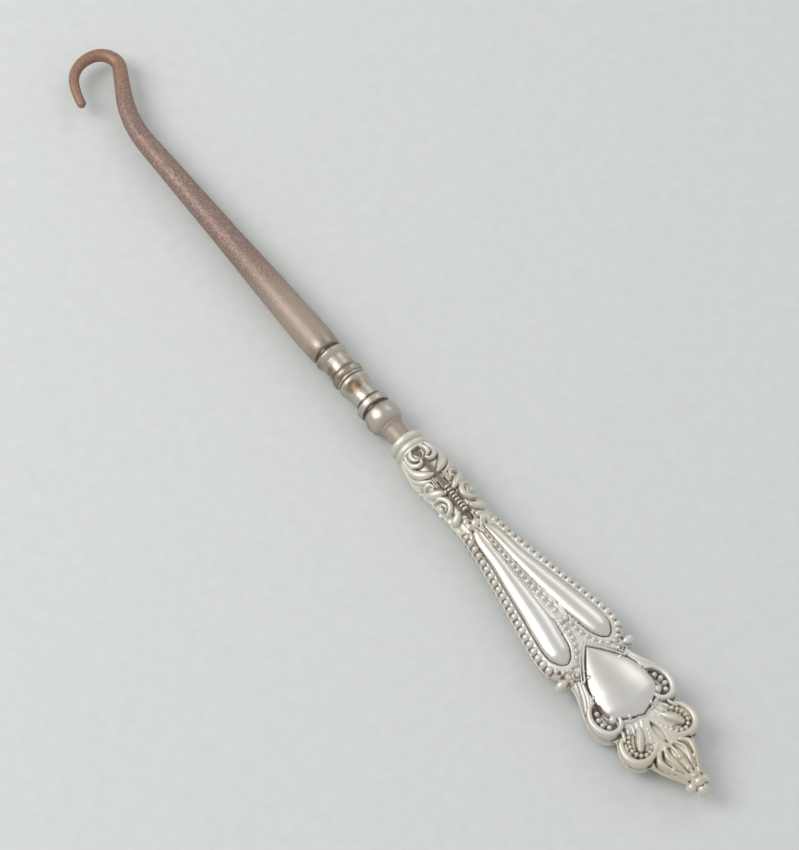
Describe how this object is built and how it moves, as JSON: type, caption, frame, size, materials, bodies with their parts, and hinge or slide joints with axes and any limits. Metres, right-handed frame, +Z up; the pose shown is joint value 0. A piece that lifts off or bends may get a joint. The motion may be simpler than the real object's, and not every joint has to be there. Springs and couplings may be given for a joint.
{
  "type": "button hook",
  "caption": "Button hook: a steel hook on a turned shank, held by pitch in a hollow silver handle struck with beads, scrolls and a smooth cartouche.",
  "frame": {"origin": "under the middle of the tool, on the surface that it lies on, half way along its length and on its axis", "axes": "+X along the tool from the hook to the tip of the handle, +Z up out of the handle's front face, and the hook's point is on the -Y side"},
  "size_m": [0.1901, 0.017, 0.0074],
  "materials": {
    "rusted_steel": "worn, rust browned and pitted, brighter on the turned bands",
    "struck_silver": "polished high, tarnished in the hollows",
    "turned_silver": "polished, faintly greenish tarnish",
    "silver_solder": "satin",
    "pitch": "matt"
  },
  "bodies": {
    "root": {"hook_shank": "rusted_steel", "neck_collar": "turned_silver", "front_shell": "struck_silver", "back_shell": "struck_silver", "seam_solder": "silver_solder", "pitch_core": "pitch"}
  },
  "joints": []
}
